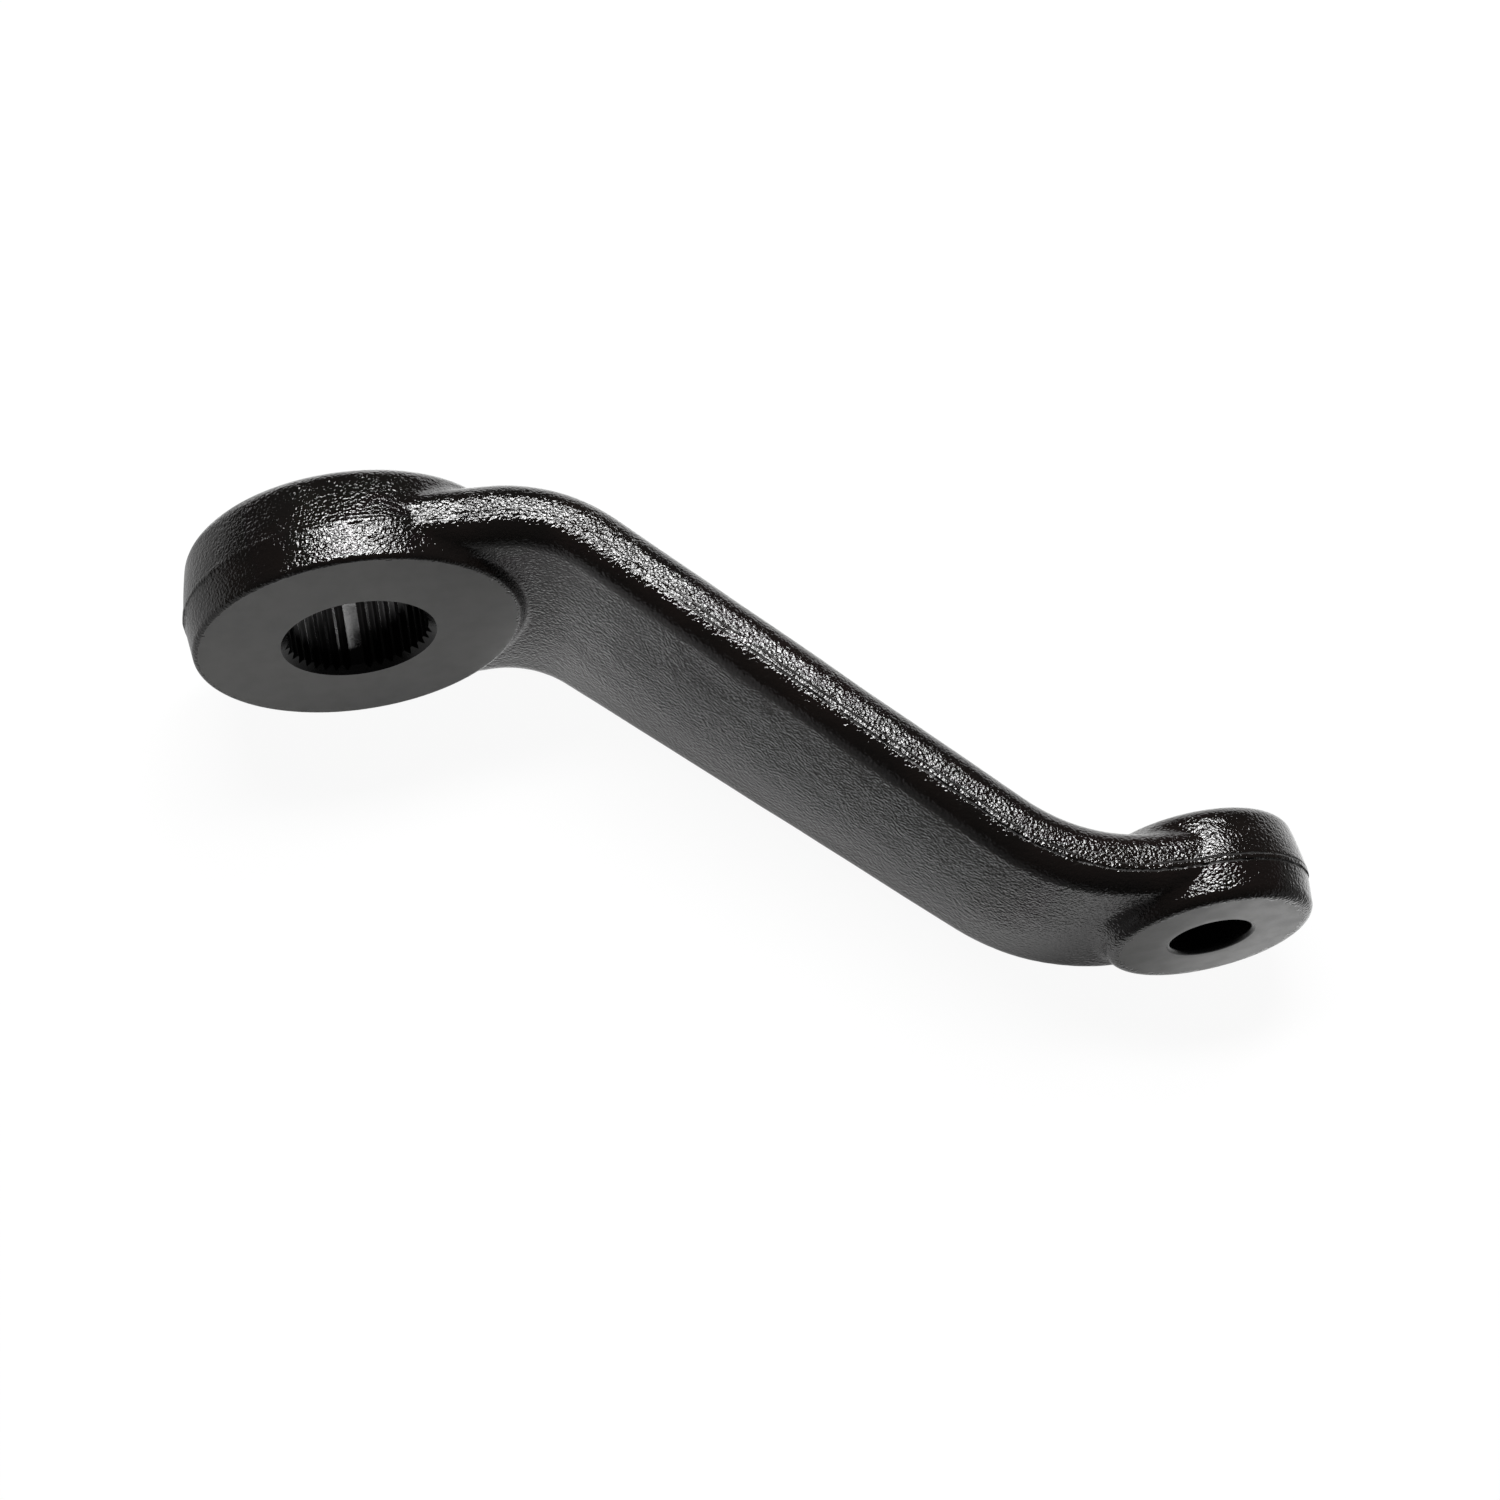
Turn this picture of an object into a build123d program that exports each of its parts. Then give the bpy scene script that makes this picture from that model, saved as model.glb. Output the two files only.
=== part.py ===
from build123d import *
import math
import os

os.makedirs("parts", exist_ok=True)

# Main layout: the drop runs along the bore axes, both bored faces look along -Y
center_distance = 152.4
eye_drop = 86.3

# Hub on the sector shaft
hub_radius = 33.1
hub_height = 21.0
hub_foot_chamfer = 0.6
hub_crown_chamfer = 2.2

# Eye for the ball stud
eye_radius = 21.2
eye_height = 19.5
eye_foot_chamfer = 0.9
eye_crown_round = 3.0

# Arm between them: constant thickness, two bends of the same angle, flanks just inside both bosses
arm_thickness = 13.0
arm_slope_angle = 45.0
hub_flank_inset = 1.1
eye_flank_inset = 0.9
arm_edge_round = 5.0
hub_corner_clearance = 5.4
hub_bend_radius = 26.3
eye_bend_radius = 39.0
root_blend = 2.0

# Forging: draft away from the parting line, trimmed flash left on that line
draft_angle = 6.0
hub_parting_height = 9.25
eye_parting_height = 9.8
flash_width = 1.1
flash_height = 0.3

# Serrated bore: widens toward the far face, blank positions leave four wide lands
spline_positions = 40
blank_every = 10
crest_radius = 13.8
crest_width = 0.5
groove_depth = 0.9
spline_taper_angle = 1.79
spline_mouth_chamfer = 1.5

# Taper bore for the ball stud, wide end at the lower face
stud_mouth_radius = 8.0
stud_taper_angle = 3.576
stud_mouth_chamfer = 0.5

# The seat plane is the hub's lower face, tilted so that hub and eye lie on one floor
rest_tilt = math.asin((hub_radius - eye_radius) / center_distance)
along = (math.cos(rest_tilt), 0, -math.sin(rest_tilt))
seat = Plane(origin=(0, 0, 0), x_dir=along, z_dir=(0, 1, 0))
profile = Plane(origin=(0, 0, 0), x_dir=along, z_dir=tuple(-seat.y_dir))
eye_profile = Plane(profile.from_local_coords((center_distance, -eye_drop)), x_dir=along, z_dir=profile.z_dir)
shaft_axis = Axis(profile.origin, profile.y_dir)
stud_axis = Axis(eye_profile.origin, eye_profile.y_dir)

# Mid-line of the arm, which is the parting line seen from the side
slope = math.radians(arm_slope_angle)
eye_level = eye_parting_height - eye_drop
bend_fall = (hub_bend_radius + eye_bend_radius) * (1 - math.cos(slope))
ramp_length = (hub_parting_height - eye_level - bend_fall) / math.sin(slope)
root_run = hub_radius + hub_corner_clearance - hub_bend_radius * math.tan(slope / 2)
overrun = 2 * hub_radius

with BuildLine(profile) as mid_line:
    root = Line((-overrun, hub_parting_height), (root_run, hub_parting_height))
    hub_bend = JernArc(root @ 1, root % 1, hub_bend_radius, -arm_slope_angle)
    ramp = PolarLine(hub_bend @ 1, ramp_length, direction=hub_bend % 1)
    eye_bend = JernArc(ramp @ 1, ramp % 1, eye_bend_radius, arm_slope_angle)
    Line(eye_bend @ 1, (center_distance + overrun, eye_level))

# Tapering outline of the arm seen along the bores
with BuildSketch(seat) as outline:
    with BuildLine():
        Polyline(
            (0, hub_flank_inset - hub_radius),
            (center_distance, eye_flank_inset - eye_radius),
            (center_distance, eye_radius - eye_flank_inset),
            (0, hub_radius - hub_flank_inset),
            close=True,
        )
    make_face()

# Arm: the S-shaped slab cut to that outline, all long edges well rounded
with BuildPart() as arm:
    with BuildSketch(profile):
        trace(mid_line.line, line_width=arm_thickness)
    extrude(amount=overrun, both=True)
    extrude(outline.sketch, amount=overrun + eye_drop, both=True, mode=Mode.INTERSECT)
    flanks = arm.faces().filter_by(lambda face: abs(face.normal_at().dot(seat.y_dir)) > math.cos(slope))
    long_edges = flanks.edges().filter_by(lambda edge: abs((edge % 0.5).dot(seat.z_dir)) < math.cos(slope / 2))
    fillet(long_edges, arm_edge_round)

# Bosses: turned blanks whose walls have draft both ways from the parting line
draft = math.tan(math.radians(draft_angle))
with BuildPart() as bosses:
    with BuildSketch(profile) as hub:
        with BuildLine():
            Polyline(
                (0, 0),
                (hub_radius - hub_parting_height * draft, 0),
                (hub_radius, hub_parting_height),
                (hub_radius - (hub_height - hub_parting_height) * draft, hub_height),
                (0, hub_height),
                close=True,
            )
        make_face()
        chamfer(hub.vertices().group_by(Axis.Y)[0].sort_by(Axis.X)[-1], hub_foot_chamfer)
        chamfer(hub.vertices().group_by(Axis.Y)[-1].sort_by(Axis.X)[-1], hub_crown_chamfer)
    revolve(axis=shaft_axis)
    with BuildSketch(eye_profile) as eye:
        with BuildLine():
            Polyline(
                (0, 0),
                (eye_radius - eye_parting_height * draft, 0),
                (eye_radius, eye_parting_height),
                (eye_radius - (eye_height - eye_parting_height) * draft, eye_height),
                (0, eye_height),
                close=True,
            )
        make_face()
        chamfer(eye.vertices().group_by(Axis.Y)[0].sort_by(Axis.X)[-1], eye_foot_chamfer)
        fillet(eye.vertices().group_by(Axis.Y)[-1].sort_by(Axis.X)[-1], eye_crown_round)
    revolve(axis=stud_axis)

# The dies part on the mid-line surface: each half is blended where the arm runs into its bosses
forged_halves = []
for die_side in (overrun + eye_drop, -overrun - eye_drop):
    with BuildPart() as die:
        with BuildSketch(profile):
            with BuildLine():
                add(profile.to_local_coords(mid_line.line))
                Polyline(
                    (center_distance + overrun, eye_level),
                    (center_distance + overrun, die_side),
                    (-overrun, die_side),
                    (-overrun, hub_parting_height),
                )
            make_face()
        extrude(amount=overrun, both=True)
    with BuildPart() as arm_half:
        add(arm.part)
        add(die.part, mode=Mode.INTERSECT)
    with BuildPart() as forged_half:
        add(bosses.part)
        add(die.part, mode=Mode.INTERSECT)
        add(arm_half.part)
        fillet(forged_half.edges(Select.NEW), root_blend)
    forged_halves.append(forged_half.part)

# Flash left by the trimming die: a thin shelf all round on the parting line
with BuildPart() as flash:
    with BuildSketch(profile):
        trace(mid_line.line, line_width=flash_width)
    extrude(amount=overrun, both=True)
    with BuildSketch(seat):
        offset(outline.sketch_local, amount=flash_height)
        Circle(hub_radius + flash_height)
        with Locations((center_distance, 0)):
            Circle(eye_radius + flash_height)
    extrude(amount=overrun + eye_drop, both=True, mode=Mode.INTERSECT)

# Serration cutter: one V groove that follows the taper of the shaft bore
taper = math.tan(math.radians(spline_taper_angle))
pitch_angle = 360 / spline_positions
groove_half_width = (crest_radius * math.radians(pitch_angle) - crest_width) / 2
with BuildPart() as groove:
    for height in (-spline_mouth_chamfer, hub_height + spline_mouth_chamfer):
        crest = crest_radius + height * taper
        with BuildSketch(seat.offset(height)):
            with BuildLine():
                Polyline(
                    (crest - groove_depth, -2 * groove_half_width),
                    (crest + groove_depth, 0),
                    (crest - groove_depth, 2 * groove_half_width),
                    close=True,
                )
            make_face()
    loft()

# One forging: both halves and the flash, then the two bores
with BuildPart() as pitman_arm:
    for forged in forged_halves:
        add(forged)
    add(flash.part)

    # Shaft bore: crest cone with a chamfer at each mouth, then the serrations
    far_crest = crest_radius + hub_height * taper
    with BuildSketch(profile):
        with BuildLine():
            Polyline(
                (0, 0),
                (crest_radius + spline_mouth_chamfer, 0),
                (crest_radius, spline_mouth_chamfer),
                (far_crest, hub_height - spline_mouth_chamfer),
                (far_crest + spline_mouth_chamfer, hub_height),
                (0, hub_height),
                close=True,
            )
        make_face()
    revolve(axis=shaft_axis, mode=Mode.SUBTRACT)
    for position in range(spline_positions):
        if position % blank_every:
            add(groove.part.rotate(shaft_axis, position * pitch_angle), mode=Mode.SUBTRACT)

    # Stud bore: smooth taper with both mouths broken
    stud_far_radius = stud_mouth_radius - eye_height * math.tan(math.radians(stud_taper_angle))
    with BuildSketch(eye_profile):
        with BuildLine():
            Polyline((0, 0), (stud_mouth_radius, 0), (stud_far_radius, eye_height), (0, eye_height), close=True)
        make_face()
    revolve(axis=stud_axis, mode=Mode.SUBTRACT)
    chamfer(pitman_arm.edges(Select.LAST).filter_by(GeomType.CIRCLE), stud_mouth_chamfer)

pitman_arm.part.label = "pitman_arm"
export_step(pitman_arm.part, "parts/pitman_arm.step")
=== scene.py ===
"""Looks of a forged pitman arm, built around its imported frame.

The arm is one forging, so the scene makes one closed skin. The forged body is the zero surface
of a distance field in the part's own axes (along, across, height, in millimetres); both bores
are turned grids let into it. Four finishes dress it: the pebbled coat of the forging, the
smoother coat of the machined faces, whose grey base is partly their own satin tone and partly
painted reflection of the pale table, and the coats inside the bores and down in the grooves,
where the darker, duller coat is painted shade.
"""
from __future__ import annotations

import logging
import math
from dataclasses import dataclass, field
from enum import Enum

import bpy
import numpy as np
from mathutils import Matrix, Vector
from mathutils.geometry import delaunay_2d_cdt


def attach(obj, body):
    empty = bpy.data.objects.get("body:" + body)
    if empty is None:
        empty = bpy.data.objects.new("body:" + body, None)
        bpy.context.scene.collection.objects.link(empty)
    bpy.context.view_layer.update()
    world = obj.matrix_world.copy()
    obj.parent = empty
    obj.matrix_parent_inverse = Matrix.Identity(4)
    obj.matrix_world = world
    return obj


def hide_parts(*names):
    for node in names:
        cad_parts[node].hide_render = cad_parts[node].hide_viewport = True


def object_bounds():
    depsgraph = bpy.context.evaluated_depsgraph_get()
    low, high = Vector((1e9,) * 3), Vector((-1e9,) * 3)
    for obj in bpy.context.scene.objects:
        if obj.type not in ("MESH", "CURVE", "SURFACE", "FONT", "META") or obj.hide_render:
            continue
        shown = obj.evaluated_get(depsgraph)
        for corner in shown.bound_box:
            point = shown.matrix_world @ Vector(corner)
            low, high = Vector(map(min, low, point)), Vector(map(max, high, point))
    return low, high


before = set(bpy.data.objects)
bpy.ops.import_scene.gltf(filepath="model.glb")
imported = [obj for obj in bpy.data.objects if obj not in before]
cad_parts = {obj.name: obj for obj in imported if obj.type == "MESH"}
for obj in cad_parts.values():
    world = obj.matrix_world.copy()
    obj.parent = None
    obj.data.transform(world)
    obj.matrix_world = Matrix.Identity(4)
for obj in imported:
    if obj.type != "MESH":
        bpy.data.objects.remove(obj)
cad_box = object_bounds()

logger = logging.getLogger("pitman_arm")

MM = 0.001
TINY = 1e-6
NODE = "pitman_arm"
BODY = "root"
WHITE = (1.0, 1.0, 1.0, 1.0)

# Driving sizes of the forging, in millimetres
CENTER_DISTANCE = 152.4
EYE_DROP = 86.3
HUB_RADIUS = 33.1
HUB_HEIGHT = 21.0
EYE_RADIUS = 21.2
EYE_HEIGHT = 19.5

Socket = bpy.types.NodeSocket
Colour = tuple[float, float, float, float]


class Finish(Enum):
    """The finishes, in the order of the skin's material slots."""

    FORGED = 0
    # Machined faces, whose grey base is partly their own satin tone and partly painted reflection.
    FACED = 1
    BORED = 2
    # Faces down in the bore's grooves, painted darker and duller as shade.
    GROOVED = 3


# Geometry of the forging


@dataclass(frozen=True)
class Placement:
    """Turns the part's own axes into the row frame: hub and eye stand on one floor."""

    @property
    def tilt(self) -> float:
        """Angle between the own axes and the row axes, from the two boss radii."""
        return math.asin((HUB_RADIUS - EYE_RADIUS) / CENTER_DISTANCE)

    def axes(self) -> np.ndarray:
        """Rows are the own axes (along, across, height) written in the row frame."""
        c, s = math.cos(self.tilt), math.sin(self.tilt)
        return np.array([[c, 0.0, -s], [-s, 0.0, -c], [0.0, 1.0, 0.0]])

    def points(self, own: np.ndarray) -> np.ndarray:
        """Own millimetres to row metres."""
        return own @ self.axes() * MM

    def directions(self, own: np.ndarray) -> np.ndarray:
        """Own directions to row directions."""
        return own @ self.axes()


@dataclass(frozen=True)
class Midline:
    """The S-shaped mid-line in the (along, height) plane: line, arc, line, arc, line.

    The first bend's corner stands off the hub's rim by a clearance. The rest follows from the
    two levels, the two bends and the slope, rounded to hundredths or thousandths.
    """

    root_level: float = 9.25
    over_eye_foot: float = 9.8
    corner_clearance: float = 5.4
    hub_bend: float = 26.3
    eye_bend: float = 39.0
    slope: float = math.radians(45.0)

    @property
    def eye_level(self) -> float:
        """Height of the straight through the eye."""
        return self.over_eye_foot - EYE_DROP

    @property
    def root_end(self) -> float:
        """Where the straight through the hub ends and the first bend begins."""
        corner = HUB_RADIUS + self.corner_clearance
        return round(corner - self.hub_bend * math.tan(self.slope / 2), 3)

    @property
    def ramp_length(self) -> float:
        """Length of the straight ramp, which makes up what the bends leave of the drop."""
        bends = (self.hub_bend + self.eye_bend) * (1 - math.cos(self.slope))
        return round((self.root_level - self.eye_level - bends) / math.sin(self.slope), 2)

    @property
    def eye_start(self) -> float:
        """Where the second bend ends and the straight through the eye begins."""
        bends = (self.hub_bend + self.eye_bend) * math.sin(self.slope)
        return round(self.root_end + bends + self.ramp_length * math.cos(self.slope), 3)

    def offset(self, along: np.ndarray, height: np.ndarray) -> np.ndarray:
        """Signed distance to the mid-line, positive above it.

        The plane is cut by the normals at the four joints of the line, and each strip
        uses the distance to its own line or arc.

        Args:
            along: positions from the hub axis towards the eye, mm.
            height: positions along the bore axes, mm.

        Returns:
            The signed distances, mm.
        """
        c, s = math.cos(self.slope), math.sin(self.slope)
        hub_centre = (self.root_end, self.root_level - self.hub_bend)
        start = (hub_centre[0] + self.hub_bend * s, hub_centre[1] + self.hub_bend * c)
        eye_centre = (self.eye_start, self.eye_level + self.eye_bend)
        travel = (along - start[0]) * c - (height - start[1]) * s
        ramp = (along - start[0]) * s + (height - start[1]) * c
        first = np.hypot(along - hub_centre[0], height - hub_centre[1]) - self.hub_bend
        second = self.eye_bend - np.hypot(along - eye_centre[0], height - eye_centre[1])
        return np.select(
            [along < self.root_end, travel < 0, travel < self.ramp_length, along < self.eye_start],
            [height - self.root_level, first, ramp, second],
            height - self.eye_level,
        )


@dataclass(frozen=True)
class Face:
    """A machined flat ring between a bore's mouth and the rounded rim of its boss."""

    centre: float
    level: float
    cut_radius: float
    faces_down: bool


@dataclass(frozen=True)
class Boss:
    """A turned boss with draft both ways from the parting line and rounded rims."""

    centre: float
    level: float
    radius: float
    height: float
    parting: float
    foot_round: float
    crown_round: float
    lower_cut: float
    upper_cut: float
    draft: float = math.radians(6.0)
    barrel: float = 0.005
    barrel_start: float = 2.0

    def wall(self, along: np.ndarray, across: np.ndarray, height: np.ndarray) -> np.ndarray:
        """Distance to the two drafted cones.

        It is the radius less the drafted radius, times the draft's cosine. Above the parting
        line the wall also falls back by a little of the square of its height.

        Args:
            along: positions from the hub axis towards the eye, mm.
            across: positions across the arm, mm.
            height: positions along the bore axes, mm.

        Returns:
            The distances, mm.
        """
        out = np.hypot(along - self.centre, across) - self.radius
        away = height - self.level - self.parting
        bulge = self.barrel * np.maximum(away - self.barrel_start, 0) ** 2
        fall = np.abs(away) * math.tan(self.draft) + bulge
        return (out + fall) * math.cos(self.draft)

    def close(self, wall: np.ndarray, height: np.ndarray) -> np.ndarray:
        """Rounds the wall into the lower and the upper face."""
        body = meet(wall, self.level - height, self.foot_round)
        return meet(body, height - self.level - self.height, self.crown_round)

    def faces(self) -> tuple[Face, Face]:
        """The lower and the upper machined face."""
        return (
            Face(self.centre, self.level, self.lower_cut, faces_down=True),
            Face(self.centre, self.level + self.height, self.upper_cut, faces_down=False),
        )


def meet(a: np.ndarray, b: np.ndarray, radius: float) -> np.ndarray:
    """Intersection of two distance fields with a convex round.

    Outside both it is the length of the two overlaps past the round's centre, less the radius.
    """
    corner = np.hypot(np.maximum(a + radius, 0), np.maximum(b + radius, 0))
    return np.minimum(np.maximum(a, b), -radius) + corner


def join(a: np.ndarray, b: np.ndarray, radius: np.ndarray) -> np.ndarray:
    """Union of two distance fields with a concave blend of the radius between them."""
    corner = np.hypot(np.maximum(radius - a, 0), np.maximum(radius - b, 0))
    return np.maximum(np.minimum(a, b), radius) - corner


def blend_share(cosine: np.ndarray, least_half: float = 0.5, most: float = 1.2) -> np.ndarray:
    """How much of a right-angled blend two surfaces take when their normals meet at the cosine.

    A fillet stands off its corner by its radius times (1 / cos(half the angle) - 1), and the
    share is that over its value at a right angle, so nearly parallel surfaces get no blend.

    Args:
        cosine: cosine of the angle between the two normals.
        least_half: the half angle's cosine isn't taken below this.
        most: the largest share.

    Returns:
        The share at each point.
    """
    half = np.sqrt(np.clip((1 + cosine) / 2, least_half**2, 1))
    return np.clip((1 / half - 1) / (math.sqrt(2) - 1), 0, most)


@dataclass(frozen=True)
class Ripple:
    """A smooth random wave field: a sum of sines in seeded random directions."""

    seed: int
    shortest: float
    longest: float
    count: int = 14
    gain: float = 2.2

    def at(self, points: np.ndarray) -> np.ndarray:
        """Value at each point, about one at its strongest.

        Each wave is sin(k . p + phase), with wavelengths spread evenly in their logarithm.
        """
        rng = np.random.default_rng(self.seed)
        heading = rng.normal(size=(self.count, 3))
        heading /= np.linalg.norm(heading, axis=1)[:, None]
        length = np.geomspace(self.shortest, self.longest, self.count)
        phase = rng.uniform(0, 2 * math.pi, self.count)
        weight = np.sqrt(length / self.longest)
        total = np.zeros(points.shape[:-1])
        for k in range(self.count):
            total += weight[k] * np.sin(points @ (heading[k] * 2 * math.pi / length[k]) + phase[k])
        return total / weight.sum() * self.gain


@dataclass(frozen=True)
class Flash:
    """The ragged ridge left on the parting surface, trimmed low between hub and arm.

    Each trim is where the ridge starts to rise, measured from the hub's axis away from the
    eye or towards it, and over what length it reaches its full height. All sizes are in mm.
    """

    half_width: float = 0.55
    proud: float = 0.17
    raggedness: float = 0.10
    wander: float = 0.15
    rim: float = 0.1
    drop: float = 1.2
    drift: float = 0.006
    trimmed_share: float = 0.25
    hub_trim: tuple[float, float] = (24.0, 6.0)
    arm_trim: tuple[float, float] = (60.0, 40.0)
    line_trim: tuple[float, float] = (52.0, 14.0)
    line_least: float = 0.15
    ragged: Ripple = Ripple(seed=23, shortest=2.0, longest=16.0)

    def middle(self, along: np.ndarray, offset: np.ndarray) -> np.ndarray:
        """Distance above the middle of the ridge, which runs a little below the mid-line."""
        return offset + (self.drop + self.drift * along)

    def ridge(self, points: np.ndarray, middle: np.ndarray, body: np.ndarray) -> np.ndarray:
        """Distance to the ridge: a thin slab on the parting surface met by the swollen body.

        Args:
            points: array (..., 3) of own coordinates, mm.
            middle: distance above the middle of the ridge, mm.
            body: distance to the body, mm.

        Returns:
            The field, mm.
        """
        along = points[..., 0]
        ragged = self.ragged.at(points)
        behind, behind_fade = self.hub_trim
        ahead, ahead_fade = self.arm_trim
        ends = np.clip((-along - behind) / behind_fade, 0, 1) + np.clip((along - ahead) / ahead_fade, 0, 1)
        left = self.trimmed_share + (1 - self.trimmed_share) * ends
        proud = (self.proud + self.raggedness * ragged) * left
        aside = np.abs(middle + self.wander * ragged) - self.half_width
        return meet(aside, body - proud, self.rim)

    def line_strength(self, along: np.ndarray) -> np.ndarray:
        """How clear the trimmed line beside the ridge is: faint by the hub, full along the arm."""
        start, fade = self.line_trim
        return np.clip((along - start) / fade, self.line_least, 1.0)


@dataclass(frozen=True)
class Forging:
    """Distance field of the forged body before its bores are cut, in own millimetres."""

    place: Placement = Placement()
    midline: Midline = Midline()
    hub: Boss = Boss(centre=0.0, level=0.0, radius=HUB_RADIUS, height=HUB_HEIGHT,
                     parting=8.05, foot_round=0.9, crown_round=3.2, lower_cut=30.2, upper_cut=27.6)
    eye: Boss = Boss(centre=CENTER_DISTANCE, level=-EYE_DROP, radius=EYE_RADIUS, height=EYE_HEIGHT,
                     parting=8.6, foot_round=2.0, crown_round=3.0, lower_cut=17.6, upper_cut=16.0)
    flash: Flash = Flash()
    half_thickness: float = 6.5
    hub_half_width: float = 32.0
    eye_half_width: float = 20.3
    edge_round: float = 5.0
    root_blend: float = 2.4
    root_start: float = 2.0
    root_fade: float = 7.0
    hammer_depth: float = 0.07
    boss_hammer_share: float = 0.5
    swell: Ripple = Ripple(seed=11, shortest=9.0, longest=42.0)
    longest_step: float = 0.6
    least_square: float = 0.25

    @property
    def taper(self) -> float:
        """How much a flank comes in for each millimetre towards the eye."""
        return (self.hub_half_width - self.eye_half_width) / CENTER_DISTANCE

    def parting(self, points: np.ndarray) -> np.ndarray:
        """Signed distance to the middle of the flash."""
        along = points[..., 0]
        return self.flash.middle(along, self.midline.offset(along, points[..., 2]))

    def blend(self, along: np.ndarray, across: np.ndarray, slab: np.ndarray, flank: np.ndarray) -> np.ndarray:
        """Radius of the blend between arm and boss, from the angle at which they meet.

        The arm's normal is found from how far a point lies past its flat and its side, the
        boss's from the direction to the nearer boss axis.

        Args:
            along: positions from the hub axis towards the eye, mm.
            across: positions across the arm, mm.
            slab: distance to the arm's flats, mm.
            flank: distance to the arm's sides, mm.

        Returns:
            The radius at each point, mm.
        """
        near_hub = along < CENTER_DISTANCE / 2
        reach = np.where(near_hub, along, CENTER_DISTANCE - along)
        past_flat = np.maximum(slab + self.edge_round, TINY)
        past_side = np.maximum(flank + self.edge_round, TINY)
        side_share = past_side / np.hypot(past_flat, past_side)
        lean = np.where(near_hub, self.taper, -self.taper)
        from_axis = np.maximum(np.hypot(reach, across), TINY)
        cosine = side_share * (np.abs(across) + lean * reach) / from_axis
        reached = np.clip((reach - self.root_start) / self.root_fade, 0, 1)
        return self.root_blend * reached * blend_share(cosine)

    def value(self, points: np.ndarray) -> np.ndarray:
        """Distance to the skin, negative inside.

        The arm is a slab about the mid-line met by the tapering flanks with round edges. It
        is joined to both bosses by a concave blend, a slow ripple stands for the hammered
        skin, and a ragged ridge of flash stands on the parting surface.

        Args:
            points: array (..., 3) of own coordinates, mm.

        Returns:
            The field, mm.
        """
        along, across, height = points[..., 0], points[..., 1], points[..., 2]
        offset = self.midline.offset(along, height)
        ripple = self.hammer_depth * self.swell.at(points)
        flank = (np.abs(across) - self.hub_half_width + self.taper * along) / math.hypot(1, self.taper)
        slab = np.abs(offset) - self.half_thickness
        arm = meet(slab, flank, self.edge_round)
        arm = np.maximum(arm, np.maximum(-along, along - CENTER_DISTANCE)) + ripple
        hub, eye = (
            boss.close(boss.wall(along, across, height) + self.boss_hammer_share * ripple, height)
            for boss in (self.hub, self.eye)
        )
        body = join(arm, np.minimum(hub, eye), self.blend(along, across, slab, flank))
        ridge = self.flash.ridge(points, self.flash.middle(along, offset), body)
        return np.minimum(body, ridge)

    def slope(self, points: np.ndarray, reach: float = 0.02) -> np.ndarray:
        """Gradient of the field by central differences over the reach."""
        found = np.empty_like(points)
        for axis in range(3):
            step = np.zeros(3)
            step[axis] = reach
            found[..., axis] = (self.value(points + step) - self.value(points - step)) / (2 * reach)
        return found

    def settle(self, points: np.ndarray, rounds: int = 3) -> np.ndarray:
        """Steps onto the skin: each moves a point by value times gradient over its square."""
        for _ in range(rounds):
            grade = self.slope(points)
            square = np.maximum((grade**2).sum(1), self.least_square)
            step = np.clip(self.value(points) / square, -self.longest_step, self.longest_step)
            points = points - step[:, None] * grade
        return points

    def normals(self, points: np.ndarray) -> np.ndarray:
        """Unit normals from the gradient."""
        grade = self.slope(points, reach=0.05)
        return grade / np.maximum(np.linalg.norm(grade, axis=1), TINY)[:, None]


# Meshing


def unpinched(value: np.ndarray, just_inside: float = -0.01) -> np.ndarray:
    """Takes one more lattice point inside wherever the signs round a lattice square alternate.

    Four faces of the surface net would meet on one edge there.

    Args:
        value: the field on the lattice, changed in place.
        just_inside: the value that such a point gets, mm.

    Returns:
        The same array.
    """
    for first, second in 2 * ((0, 1), (1, 2), (2, 0)):
        turned = np.moveaxis(value, (first, second), (0, 1))
        inside = turned < 0
        near, side = inside[:-1, :-1], inside[1:, :-1]
        pinched = (near == inside[1:, 1:]) & (side == inside[:-1, 1:]) & (near != side)
        turned[:-1, :-1][pinched & ~near] = just_inside
        turned[1:, :-1][pinched & near] = just_inside
    return value


def pair_key(first: np.ndarray, second: np.ndarray, count: int) -> np.ndarray:
    """One number for each pair of point indices, out of the count of points."""
    return first * np.int64(count) + second


def triangle_edges(triangles: np.ndarray) -> np.ndarray:
    """The three directed edges of each triangle, one pair to a row."""
    return triangles[:, [0, 1, 1, 2, 2, 0]].reshape(-1, 2)


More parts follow.
